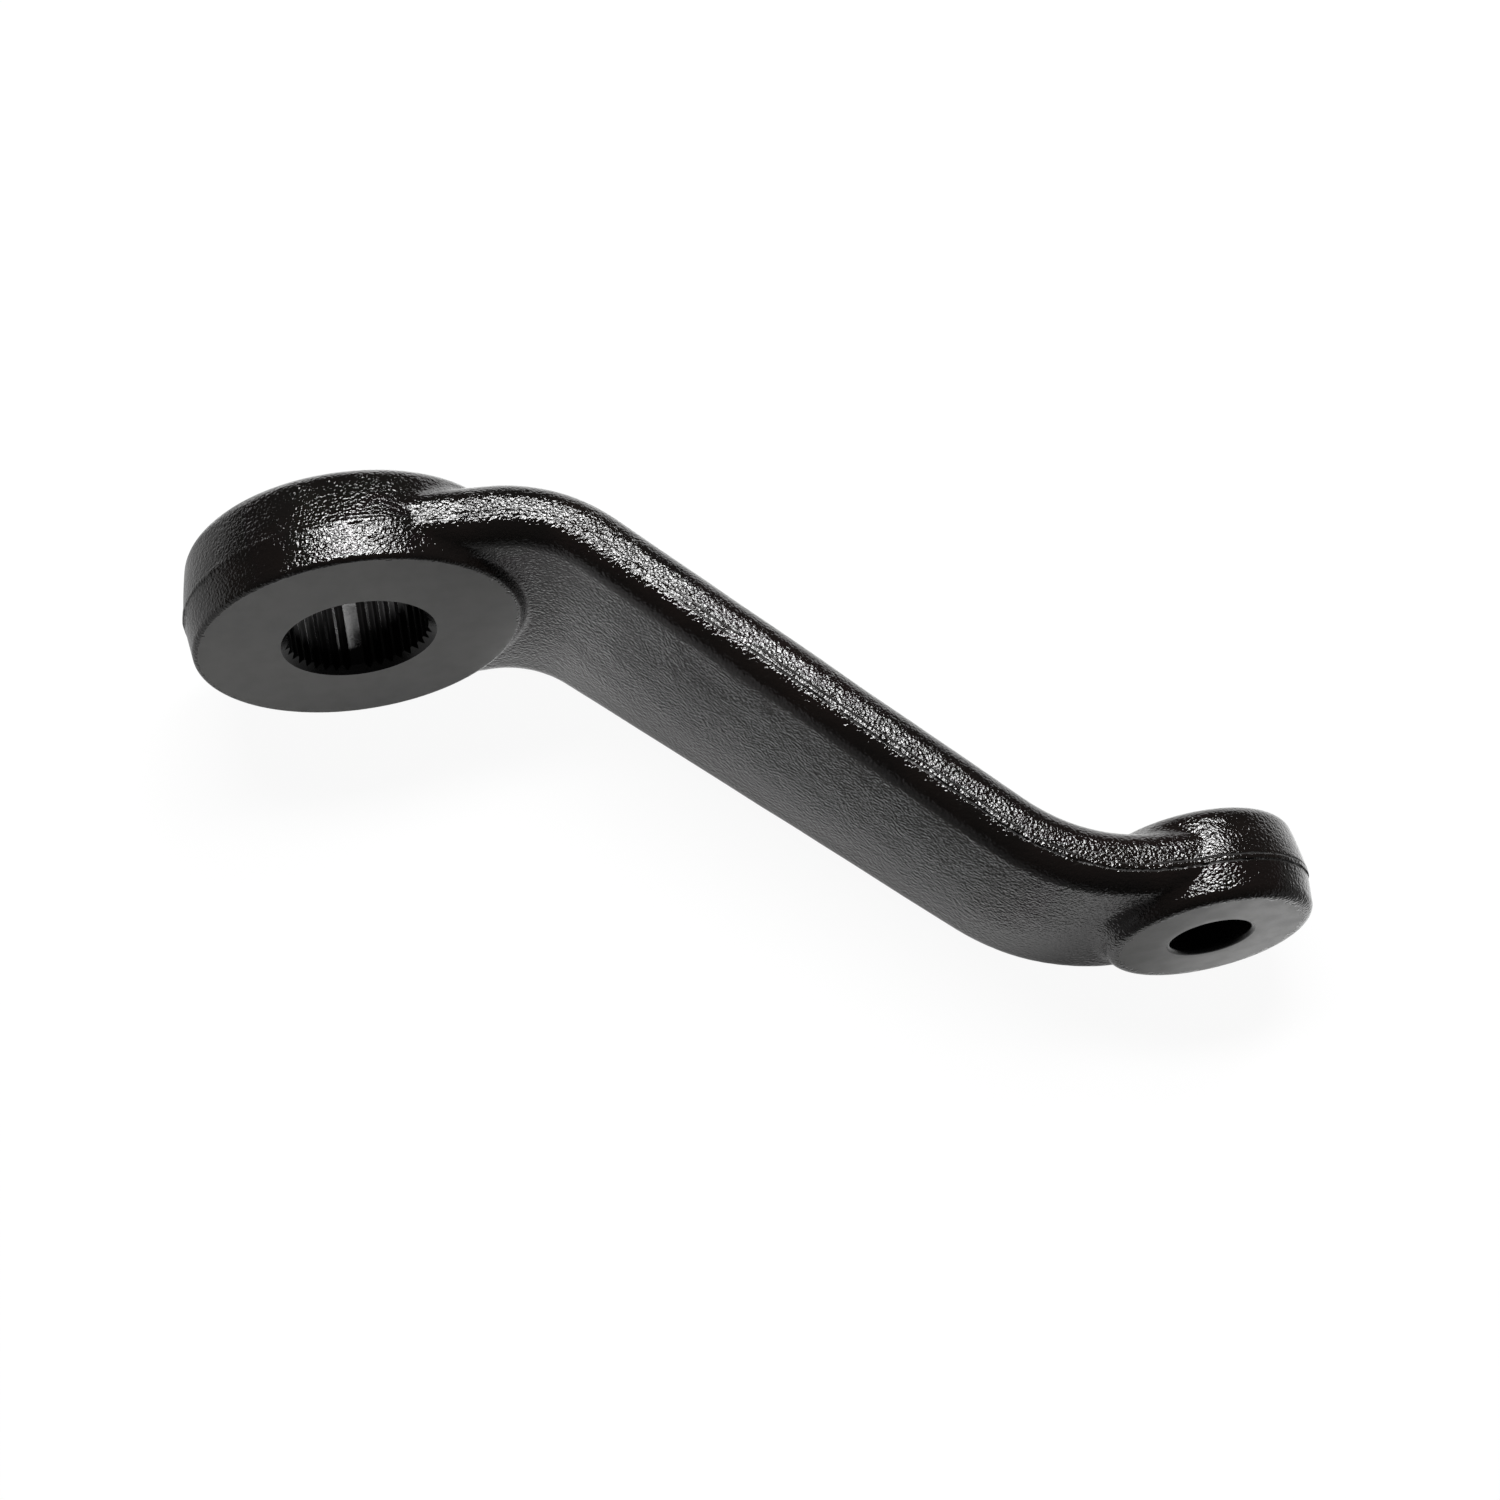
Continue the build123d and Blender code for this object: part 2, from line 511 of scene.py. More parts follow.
@dataclass
class Skin:
    """A triangle skin of the forging, made and refined with whole arrays.

    The lattice runs from the low to the high corner, which lie a little outside the forging.
    """

    forging: Forging
    step: float = 1.25
    low: tuple[float, float, float] = (-35.3, -35.2, -88.6)
    high: tuple[float, float, float] = (176.2, 35.2, 23.4)
    points: np.ndarray = field(default_factory=lambda: np.zeros((0, 3)))
    triangles: np.ndarray = field(default_factory=lambda: np.zeros((0, 3), int))

    def cast(self) -> None:
        """Surface net over a regular lattice.

        A cell crossed by the skin gets one point, the mean of the crossings on its edges,
        and each crossed lattice edge gives a four-sided face between its four cells.
        """
        low, high = np.array(self.low), np.array(self.high)
        count = np.ceil((high - low) / self.step).astype(int) + 1
        ticks = [low[k] + self.step * np.arange(count[k]) for k in range(3)]
        lattice = np.stack(np.meshgrid(*ticks, indexing="ij"), -1)
        value = unpinched(self.forging.value(lattice))
        size = int(count.prod())
        total, hits, faces = np.zeros((size, 3)), np.zeros(size), []
        for axis in range(3):
            first = np.take(value, range(count[axis] - 1), axis)
            second = np.take(value, range(1, count[axis]), axis)
            index = np.argwhere((first < 0) != (second < 0))
            a, b = first[tuple(index.T)], second[tuple(index.T)]
            crossing = low + self.step * index
            crossing[:, axis] += self.step * a / (a - b)
            u, v = (axis + 1) % 3, (axis + 2) % 3
            corners = []
            for du, dv in ((0, 0), (1, 0), (1, 1), (0, 1)):
                cell = index.copy()
                cell[:, u] -= du
                cell[:, v] -= dv
                flat = np.ravel_multi_index(cell.T, count)
                corners.append(flat)
                hits += np.bincount(flat, minlength=size)
                for k in range(3):
                    total[:, k] += np.bincount(flat, crossing[:, k], size)
            quads = np.stack(corners, 1)
            outward = a < 0
            quads[~outward] = quads[~outward][:, ::-1]
            faces.append(quads)
        quads = np.concatenate(faces)
        used, where = np.unique(quads, return_inverse=True)
        where = where.reshape(quads.shape)
        self.points = self.forging.settle(total[used] / hits[used][:, None])
        self.triangles = np.concatenate([where[:, [0, 1, 2]], where[:, [0, 2, 3]]])

    def edges(self) -> tuple[np.ndarray, np.ndarray]:
        """Unique edges, and for each triangle the indices of its three edges."""
        count = len(self.points)
        first, second = np.sort(triangle_edges(self.triangles), 1).T
        unique, inverse = np.unique(pair_key(first, second, count), return_inverse=True)
        return np.stack([unique // count, unique % count], 1), inverse.reshape(-1, 3)

    def relax(self, rounds: int, strength: float) -> None:
        """Slides points along the skin towards the mean of their neighbours, then settles them.

        Args:
            rounds: how often it is done.
            strength: share of the way to the mean that a point goes each time.
        """
        ends, _ = self.edges()
        count = len(self.points)
        degree = np.bincount(ends.ravel(), minlength=count)[:, None]
        for _ in range(rounds):
            total = np.zeros_like(self.points)
            for k in range(3):
                for here, there in ((0, 1), (1, 0)):
                    total[:, k] += np.bincount(ends[:, here], self.points[ends[:, there], k], count)
            move = total / degree - self.points
            normal = self.forging.normals(self.points)
            move -= (move * normal).sum(1)[:, None] * normal
            self.points = self.forging.settle(self.points + strength * move, rounds=1)

    def refine(self, turn: float, shortest: float, band: float, band_step: float) -> None:
        """Splits edges across which the skin turns, and edges near the parting line.

        Args:
            turn: largest angle between the normals at an edge's ends, radians.
            shortest: edges shorter than this are kept, mm.
            band: half width of the strip along the parting line that is refined, mm.
            band_step: longest edge in that strip, mm.
        """
        ends, of_triangle = self.edges()
        normal = self.forging.normals(self.points)
        length = np.linalg.norm(self.points[ends[:, 0]] - self.points[ends[:, 1]], axis=1)
        cosine = (normal[ends[:, 0]] * normal[ends[:, 1]]).sum(1)
        offset = np.abs(self.forging.parting(self.points))
        near = offset[ends].min(1) < band
        split = ((cosine < math.cos(turn)) & (length > shortest)) | (near & (length > band_step))
        fresh = np.full(len(ends), -1)
        fresh[split] = len(self.points) + np.arange(int(split.sum()))
        middle = self.points[ends[split]].mean(1)
        self.points = np.concatenate([self.points, self.forging.settle(middle, rounds=2)])
        self.triangles = split_triangles(self.triangles, fresh[of_triangle])

    def open(self, face: Face, flatness: float = 0.02) -> np.ndarray:
        """Takes out the triangles of a flat face inside its cut and returns the rim's edges.

        Args:
            face: the machined face.
            flatness: how far from the face's level a point of it may lie, mm.

        Returns:
            The rim's edges as pairs of point indices, in the triangles' own direction.
        """
        out = np.hypot(self.points[:, 0] - face.centre, self.points[:, 1])
        flat = (np.abs(self.points[:, 2] - face.level) < flatness) & (out < face.cut_radius)
        gone = flat[self.triangles].all(1)
        edges = triangle_edges(self.triangles[gone])
        self.triangles = self.triangles[~gone]
        first, second = edges.T
        count = len(self.points)
        return edges[~np.isin(pair_key(first, second, count), pair_key(second, first, count))]


def split_triangles(triangles: np.ndarray, middles: np.ndarray) -> np.ndarray:
    """Splits each triangle by the new points on its edges, into one to four.

    Every triangle is first turned so that its only split edge, or its only whole edge,
    comes first.

    Args:
        triangles: point indices, a row for each triangle.
        middles: the new point on each of its edges, or -1 where the edge is whole.

    Returns:
        The new triangles.
    """
    marks = (middles >= 0).sum(1)
    turned = np.argmax(np.where(marks[:, None] == 1, middles >= 0, middles < 0), 1)
    roll = (np.arange(3) + turned[:, None]) % 3
    a, b, c = np.take_along_axis(triangles, roll, 1).T
    ab, bc, ca = np.take_along_axis(middles, roll, 1).T
    none, one, two, three = (marks == k for k in range(4))

    def pick(mask: np.ndarray, *columns: np.ndarray) -> np.ndarray:
        """The named corners of the masked triangles, three to a row."""
        return np.stack(columns, 1)[mask].reshape(-1, 3)

    return np.concatenate(
        [
            pick(none, a, b, c),
            pick(one, a, ab, c, ab, b, c),
            pick(two, a, b, bc, a, bc, ca, ca, bc, c),
            pick(three, a, ab, ca, ab, b, bc, ca, bc, c, ab, bc, ca),
        ]
    )


@dataclass
class Assembly:
    """Points, faces and corner normals of the one closed mesh, in own millimetres."""

    points: list[np.ndarray] = field(default_factory=list)
    faces: list[tuple[np.ndarray, Finish, bool]] = field(default_factory=list)
    total: int = 0

    def add_points(self, points: np.ndarray) -> int:
        """Adds points and returns the index of the first."""
        first = self.total
        self.points.append(points)
        self.total += len(points)
        return first

    def add_faces(self, corners: np.ndarray, finish: Finish, smooth_field: bool = False) -> None:
        """Adds faces of three or four corners.

        Args:
            corners: point indices, a row for each face.
            finish: the finish of the faces.
            smooth_field: whether their corner normals come from the field.
        """
        self.faces.append((corners, finish, smooth_field))


def ring_faces(first: int, rows: int, columns: int) -> np.ndarray:
    """Four-sided faces of a grid closed round its columns, row after row."""
    row, column = np.meshgrid(np.arange(rows - 1), np.arange(columns), indexing="ij")
    start, after = row * columns, (column + 1) % columns
    corner = [start + column, start + after, start + columns + after, start + columns + column]
    return first + np.stack(corner, -1).reshape(-1, 4)


@dataclass(frozen=True)
class SerratedBore:
    """Tapered bore with V grooves; four wide lands take the place of a groove.

    A groove has an eased edge on either side and an eased root, and between its edge faces
    it is painted darker and duller as shade. The crest between two grooves is three faces wide.
    """

    height: float = HUB_HEIGHT
    positions: int = 40
    blank_every: int = 10
    crest_radius: float = 13.8
    crest_width: float = 0.5
    groove_depth: float = 0.9
    taper: float = math.tan(math.radians(1.79))
    mouth: float = 1.5
    least_mouth: float = 0.05
    rows: int = 14
    mouth_rows: int = 2
    edge_place: float = 0.93
    edge_ease: float = 0.03
    root_place: float = 0.12
    root_ease: float = 0.07
    root_side_share: float = 0.3
    edge_faces: int = 1
    crest_faces: int = 3

    def grid(self) -> tuple[np.ndarray, int, int]:
        """Points of the bore's wall, row by row from the lower to the upper face.

        The groove's depth falls from its root to nothing over half its width. Rows follow
        the cone of each mouth up to where it meets the groove, and then the tapering groove.

        Returns:
            The points, the number of rows and the number of columns.
        """
        pitch = 2 * math.pi / self.positions
        half = (self.crest_radius * pitch - self.crest_width) / 2
        side = np.array([-1.0, -self.edge_place, -0.5, -self.root_place, 0.0])
        ease = np.array([0.0, self.edge_ease, 0.0, self.root_ease * self.root_side_share, self.root_ease])
        shares = np.concatenate([side, -side[-2::-1]])
        lift = 1 - np.abs(shares) - np.concatenate([ease, ease[-2::-1]])
        angle = np.append(shares * half / self.crest_radius, pitch / 2)
        depth = np.append(lift * self.groove_depth, 0.0)
        place = np.arange(self.positions)
        grooved = (place % self.blank_every != 0).astype(float)
        theta = (place[:, None] * pitch + angle).ravel()
        depth = (grooved[:, None] * depth).ravel()
        lip = np.clip(self.mouth - depth, self.least_mouth, None)
        low_turn, high_turn = lip / (1 + self.taper), self.height - lip
        share = np.linspace(0, 1, self.rows)[:, None]
        heights = np.concatenate([
            [0 * low_turn, 0.5 * low_turn],
            low_turn + share * (high_turn - low_turn),
            [(high_turn + self.height) / 2, 0 * high_turn + self.height],
        ])
        far = self.crest_radius + self.height * self.taper
        groove = self.crest_radius + heights * self.taper + depth
        low_cone = self.crest_radius + self.mouth - heights
        high_cone = far + self.mouth - (self.height - heights)
        radius = np.maximum(groove, np.maximum(low_cone, high_cone))
        radius[0], radius[-1] = self.crest_radius + self.mouth, far + self.mouth
        points = np.stack([radius * np.cos(theta), radius * np.sin(theta), heights], -1)
        return points.reshape(-1, 3), len(heights), len(theta)

    def sunk(self, rows: int, columns: int) -> np.ndarray:
        """Marks the faces that lie in a groove, whose darker, duller coat is painted shade."""
        column = np.tile(np.arange(columns), rows - 1)
        row = np.repeat(np.arange(rows - 1), columns)
        per_tooth = columns // self.positions
        grooved = (column // per_tooth) % self.blank_every != 0
        place = column % per_tooth
        inside = (place >= self.edge_faces) & (place < per_tooth - self.crest_faces)
        return grooved & inside & (row >= self.mouth_rows) & (row < rows - 1 - self.mouth_rows)


@dataclass(frozen=True)
class StudBore:
    """Smooth taper for the ball stud, wide end at the lower face, both mouths rounded."""

    centre: float = CENTER_DISTANCE
    level: float = -EYE_DROP
    height: float = EYE_HEIGHT
    mouth_radius: float = 8.0
    taper: float = math.tan(math.radians(3.576))
    lip: float = 0.75
    lip_rows: int = 7
    columns: int = 128
    rows: int = 16

    def grid(self) -> tuple[np.ndarray, int, int]:
        """Points of the bore's wall: a quarter round at each mouth and the cone between them.

        Returns:
            The points, the number of rows and the number of columns.
        """
        turn = np.linspace(0, math.pi / 2, self.lip_rows)
        low = np.stack([self.lip * (1 - np.sin(turn)), self.lip * (1 - np.cos(turn))], 1)
        share = np.linspace(0, 1, self.rows)[1:-1]
        middle = np.stack([0 * share, self.lip + share * (self.height - 2 * self.lip)], 1)
        high = np.stack([low[::-1, 0], self.height - low[::-1, 1]], 1)
        profile = np.concatenate([low, middle, high])
        radius = self.mouth_radius - profile[:, 1] * self.taper + profile[:, 0]
        theta = np.arange(self.columns) * 2 * math.pi / self.columns
        height = np.repeat(profile[:, 1], self.columns)
        around = np.tile(theta, len(profile))
        out = np.repeat(radius, self.columns)
        along, across = self.centre + out * np.cos(around), out * np.sin(around)
        return np.stack([along, across, self.level + height], 1), len(profile), self.columns

    def sunk(self, rows: int, columns: int) -> np.ndarray:
        """No face of this bore lies in a groove."""
        return np.zeros((rows - 1) * columns, bool)


def closed_line(first: int, count: int) -> np.ndarray:
    """Edges of a closed line over consecutive point indices."""
    line = first + np.arange(count)
    return np.stack([line, np.roll(line, -1)], 1)


def circle(centre: np.ndarray, radius: float, count: int, start: float) -> np.ndarray:
    """Points spaced evenly round a circle, the first one turned by the share of a step."""
    turn = (np.arange(count) + start) * 2 * math.pi / count
    return np.stack([centre[0] + radius * np.cos(turn), centre[1] + radius * np.sin(turn)], 1)


def flat_ring(outer: np.ndarray, rim: np.ndarray, inner: np.ndarray, centre: np.ndarray, facing: int,
              spacing: float = 2.2, weld: float = 1e-7) -> tuple[np.ndarray, np.ndarray, np.ndarray]:
    """Triangulates the flat ring between two closed lines, with rings of points in between.

    The rings' point counts run evenly from a third of the inner line's to the outer line's.

    Args:
        outer: plane points of the outer line, mm.
        rim: the outer line's edges, as pairs of indices into outer.
        inner: plane points of the inner line in order, mm.
        centre: the ring's centre in the plane.
        facing: 1 when the faces look along +height, -1 along -height.
        spacing: distance from one ring of points to the next, mm.
        weld: points nearer than this would be made one, mm.

    Returns:
        The extra points in the plane, triangles over outer, inner and extra points, and
        which of the triangles lie inside the outermost ring of extra points.
    """
    hole = np.hypot(*(inner - centre).T).mean()
    edge = np.hypot(*(outer - centre).T).min()
    layers = max(int((edge - hole) / spacing), 1)
    radii = np.linspace(hole, edge, layers + 2)[1:-1]
    counts = np.interp(radii, (hole, edge), (len(inner) / 3, len(outer))).astype(int)
    rings = [circle(centre, radius, count, start=0.5 * (k % 2))
             for k, (radius, count) in enumerate(zip(radii, counts))]
    extra = np.concatenate(rings)
    sites = np.concatenate([outer, inner, extra])
    hole_line = closed_line(len(outer), len(inner))
    ring_line = closed_line(len(sites) - counts[-1], counts[-1])
    borders = np.concatenate([rim, hole_line, ring_line])
    inside_only = 1
    points, _, triangles, sources, _, _ = delaunay_2d_cdt(
        sites.tolist(), borders.tolist(), [], inside_only, weld)
    if len(points) != len(sites):
        logger.warning("flat ring changed its points: %d to %d", len(sites), len(points))
    found = np.array([source[0] for source in sources])[np.array(triangles)]
    over_hole = ((found >= hole_line.min()) & (found <= hole_line.max())).all(1)
    found = found[~over_hole]
    flat = sites[found]
    area = np.cross(flat[:, 1] - flat[:, 0], flat[:, 2] - flat[:, 0])
    found[area * facing < 0] = found[area * facing < 0][:, ::-1]
    turned = np.hypot(*(sites[found].mean(1) - centre).T) < radii[-1]
    return extra, found, turned


@dataclass
class PitmanArm:
    """The whole forging: skin, four machined faces and two bores, as one closed mesh."""

    forging: Forging = Forging()
    shaft: SerratedBore = SerratedBore()
    stud: StudBore = StudBore()
    largest_turn: float = math.radians(13)
    sharp_turn: float = math.radians(28)
    face_flatness: float = 0.01

    def skin(self) -> Skin:
        """Casts the forged skin and refines it at its rounds and along its flash."""
        skin = Skin(self.forging)
        skin.cast()
        skin.relax(rounds=6, strength=0.6)
        skin.refine(self.largest_turn, shortest=0.45, band=1.3, band_step=0.8)
        skin.refine(self.largest_turn, shortest=0.40, band=0.9, band_step=0.55)
        skin.relax(rounds=2, strength=0.3)
        logger.info("skin: %d points, %d triangles", len(skin.points), len(skin.triangles))
        return skin

    def let_in(self, pieces: Assembly, skin: Skin, bore: SerratedBore | StudBore, boss: Boss) -> None:
        """Adds a bore's wall, and joins both its mouths to the skin by flat rings.

        A lower face is machined right to its edge. On an upper one the machined ring ends
        at a clean circle, and outside it the face keeps its forged coat.

        Args:
            pieces: the mesh so far.
            skin: the forged skin, opened at both faces.
            bore: the bore to let in.
            boss: the boss that holds it.
        """
        points, rows, columns = bore.grid()
        first = pieces.add_points(points)
        wall = ring_faces(first, rows, columns)[:, ::-1]
        sunk = bore.sunk(rows, columns)
        pieces.add_faces(wall[~sunk], Finish.BORED)
        # The groove faces take the darker, duller coat, which is painted shade.
        pieces.add_faces(wall[sunk], Finish.GROOVED)
        for face, row in zip(boss.faces(), (0, rows - 1)):
            rim = skin.open(face)
            used, local = np.unique(rim, return_inverse=True)
            mouth = row * columns + np.arange(columns)
            extra, found, turned = flat_ring(
                skin.points[used][:, :2], local.reshape(-1, 2), points[mouth][:, :2],
                np.array([face.centre, 0.0]), -1 if face.faces_down else 1)
            start = pieces.add_points(np.insert(extra, 2, face.level, axis=1))
            index = np.concatenate([used, first + mouth, start + np.arange(len(extra))])
            turned |= face.faces_down
            pieces.add_faces(index[found[turned]], Finish.FACED)
            pieces.add_faces(index[found[~turned]], Finish.FORGED)

    def assemble(self) -> Assembly:
        """Makes the skin, opens its flat faces and lets in the rings and bores."""
        skin = self.skin()
        hub, eye = self.forging.hub, self.forging.eye
        pieces = Assembly()
        pieces.add_points(skin.points)
        self.let_in(pieces, skin, self.shaft, hub)
        self.let_in(pieces, skin, self.stud, eye)
        from_foot = np.abs(skin.points[:, 2:] - np.array([[hub.level, eye.level]]))
        flat = (from_foot < self.face_flatness).any(1)[skin.triangles].all(1)
        pieces.add_faces(skin.triangles[~flat], Finish.FORGED, smooth_field=True)
        pieces.add_faces(skin.triangles[flat], Finish.FACED, smooth_field=True)
        return pieces

    def mesh(self) -> bpy.types.Mesh:
        """Writes the assembled arrays into a Blender mesh in row metres, with its attributes."""
        pieces = self.assemble()
        points = np.concatenate(pieces.points)
        keep = np.zeros(len(points), bool)
        for corners, _, _ in pieces.faces:
            keep[corners.ravel()] = True
        renumber = np.cumsum(keep) - 1
        points = points[keep]
        loops = np.concatenate([renumber[c].ravel() for c, _, _ in pieces.faces])
        sizes = np.concatenate([np.full(len(c), c.shape[1]) for c, _, _ in pieces.faces])
        finish = np.concatenate([np.full(len(c), f.value) for c, f, _ in pieces.faces])
        by_field = np.concatenate([np.full(c.size, s) for c, _, s in pieces.faces])
        starts = np.concatenate([[0], np.cumsum(sizes)[:-1]])
        mesh = bpy.data.meshes.new(NODE + "_skin")
        mesh.vertices.add(len(points))
        mesh.loops.add(len(loops))
        mesh.polygons.add(len(sizes))
        place = self.forging.place
        mesh.vertices.foreach_set("co", place.points(points).ravel())
        mesh.loops.foreach_set("vertex_index", loops)
        mesh.polygons.foreach_set("loop_start", starts)
        mesh.polygons.foreach_set("material_index", finish)
        mesh.update(calc_edges=True)
        mesh.validate(verbose=False)
        self.mark_sharp(mesh)
        attributes = {"parting": self.forging.parting(points),
                      "seam": self.forging.flash.line_strength(points[:, 0])}
        for name, value in attributes.items():
            mesh.attributes.new(name, "FLOAT", "POINT").data.foreach_set("value", value)
        normal = place.directions(self.forging.normals(points))[loops]
        normal[~by_field] = 0
        mesh.normals_split_custom_set(normal)
        return mesh

    def mark_sharp(self, mesh: bpy.types.Mesh) -> None:
        """Marks edges of the machined surfaces whose two faces turn by more than the sharp turn."""
        count = len(mesh.polygons)
        normal = np.zeros(count * 3)
        mesh.polygons.foreach_get("normal", normal)
        normal = normal.reshape(-1, 3)
        total = np.zeros(count, int)
        mesh.polygons.foreach_get("loop_total", total)
        finish = np.zeros(count, int)
        mesh.polygons.foreach_get("material_index", finish)
        edge = np.zeros(len(mesh.loops), int)
        mesh.loops.foreach_get("edge_index", edge)
        owner = np.repeat(np.arange(count), total)
        order = np.argsort(edge, kind="stable")
        edge, owner = edge[order], owner[order]
        pair = np.flatnonzero(edge[1:] == edge[:-1])
        one, two = owner[pair], owner[pair + 1]
        bent = (normal[one] * normal[two]).sum(1) < math.cos(self.sharp_turn)
        machined = (finish[one] != Finish.FORGED.value) & (finish[two] != Finish.FORGED.value)
        sharp = np.zeros(len(mesh.edges), bool)
        sharp[edge[pair[bent & machined]]] = True
        mesh.attributes.new("sharp_edge", "BOOLEAN", "EDGE").data.foreach_set("value", sharp)


# Finishes


@dataclass
class Graph:
    """Short ways to add and join shader nodes in one tree."""

    tree: bpy.types.NodeTree

    def node(self, kind: str, **settings: object) -> bpy.types.Node:
        """Adds a node of the kind and sets the named settings on it."""
        made = self.tree.nodes.new(kind)
        for name, value in settings.items():
            setattr(made, name, value)
        return made

    def feed(self, socket: Socket, value: Socket | float | tuple) -> None:
        """Joins a socket to the input, or sets a plain value on it."""
        if isinstance(value, bpy.types.NodeSocket):
            self.tree.links.new(value, socket)
        else:
            socket.default_value = value

    def fill(self, node: bpy.types.Node, inputs: dict[str | int, Socket | float | tuple]) -> bpy.types.Node:
        """Feeds the named or numbered inputs of a node and gives the node back."""
        for name, value in inputs.items():
            self.feed(node.inputs[name], value)
        return node

    def math(self, operation: str, *values: Socket | float, clamp: bool = False) -> Socket:
        """One arithmetic step."""
        made = self.node("ShaderNodeMath", operation=operation, use_clamp=clamp)
        return self.fill(made, dict(enumerate(values))).outputs[0]

    def product(self, first: Socket | float, second: Socket | float) -> Socket:
        """The two values multiplied."""
        return self.math("MULTIPLY", first, second)

    def total(self, first: Socket | float, second: Socket | float, clamp: bool = False) -> Socket:
        """The two values added."""
        return self.math("ADD", first, second, clamp=clamp)

    def less(self, first: Socket | float, second: Socket | float) -> Socket:
        """The first value less the second."""
        return self.math("SUBTRACT", first, second)

    def object_place(self) -> Socket:
        """Object coordinates, in metres."""
        return self.node("ShaderNodeTexCoord").outputs["Object"]

    def attribute(self, name: str) -> Socket:
        """The mesh attribute of the name."""
        return self.node("ShaderNodeAttribute", attribute_name=name).outputs["Fac"]

    def noise(self, vector: Socket, scale: float | Socket, detail: float = 2.0, roughness: float = 0.5,
              distortion: float = 0.0) -> Socket:
        """Noise value at the vector."""
        return self.fill(self.node("ShaderNodeTexNoise"), {
            "Vector": vector, "Scale": scale, "Detail": detail,
            "Roughness": roughness, "Distortion": distortion,
        }).outputs["Fac"]

    def span(self, value: Socket, low: float, high: float, to_low: float | Socket = 0.0,
             to_high: float | Socket = 1.0) -> Socket:
        """Maps a range of values smoothly onto another."""
        return self.fill(self.node("ShaderNodeMapRange", interpolation_type="SMOOTHSTEP"), {
            "Value": value, "From Min": low, "From Max": high, "To Min": to_low, "To Max": to_high,
        }).outputs["Result"]

    def blend(self, share: Socket, first: Socket | tuple, second: Socket | tuple) -> Socket:
        """Mixes two colours."""
        made = self.node("ShaderNodeMix", data_type="RGBA")
        return self.fill(made, {0: share, 6: first, 7: second}).outputs[2]


def new_group(name: str, inputs: dict[str, tuple[str, object]], outputs: dict[str, str]
              ) -> tuple[Graph, bpy.types.Node, bpy.types.Node]:
    """Starts a shader node group with named inputs and outputs.

    Args:
        name: the group's name.
        inputs: kind of socket and plain value of each input.
        outputs: kind of socket of each output.

    Returns:
        The group's graph, its input node and its output node.
    """
    tree = bpy.data.node_groups.new(name, "ShaderNodeTree")
    for label, (kind, value) in inputs.items():
        socket = tree.interface.new_socket(label, in_out="INPUT", socket_type=kind)
        socket.default_value = value
    for label, kind in outputs.items():
        tree.interface.new_socket(label, in_out="OUTPUT", socket_type=kind)
    graph = Graph(tree)
    return graph, graph.node("NodeGroupInput"), graph.node("NodeGroupOutput")


@dataclass(frozen=True)
class CoatGrain:
    """The coat's relief: how much finer each layer is than the pebbles, and how its patches run."""

    patch_scale: float = 70.0
    patch_edges: tuple[float, float] = (0.36, 0.66)
    patch_strength: tuple[float, float] = (0.78, 1.05)
    leather_fineness: float = 2.3
    fine_fineness: float = 5.0

    def group(self) -> bpy.types.NodeTree:
        """Rounded pebbles broken by fine leather grain, as a height in metres.

        Returns:
            The group, with sizes and heights in millimetres as its inputs.
        """
        graph, source, sink = new_group(
            "coat_grain",
            {"Pebble Size": ("NodeSocketFloat", 0.9), "Pebble Height": ("NodeSocketFloat", 0.03),
             "Leather Height": ("NodeSocketFloat", 0.01), "Fine Height": ("NodeSocketFloat", 0.004)},
            {"Height": "NodeSocketFloat"},
        )
        where = graph.object_place()
        per_metre = graph.math("DIVIDE", 1 / MM, source.outputs["Pebble Size"])
        patches = graph.noise(where, self.patch_scale, detail=3.0, roughness=0.6)
        patches = graph.span(patches, *self.patch_edges)
        pebble = graph.noise(where, per_metre, detail=1.5, roughness=0.45, distortion=0.25)
        leather_scale = graph.product(per_metre, self.leather_fineness)
        leather = graph.noise(where, leather_scale, detail=2.0, roughness=0.5, distortion=0.6)
        fine = graph.noise(where, graph.product(per_metre, self.fine_fineness), detail=1.0)
        strength = graph.span(patches, 0.0, 1.0, *self.patch_strength)
        tall = graph.product(graph.product(pebble, source.outputs["Pebble Height"]), strength)
        low = graph.product(leather, source.outputs["Leather Height"])
        small = graph.product(fine, source.outputs["Fine Height"])
        height = graph.total(graph.total(tall, low), small)
        graph.fill(sink, {"Height": graph.product(height, MM)})
        return graph.tree


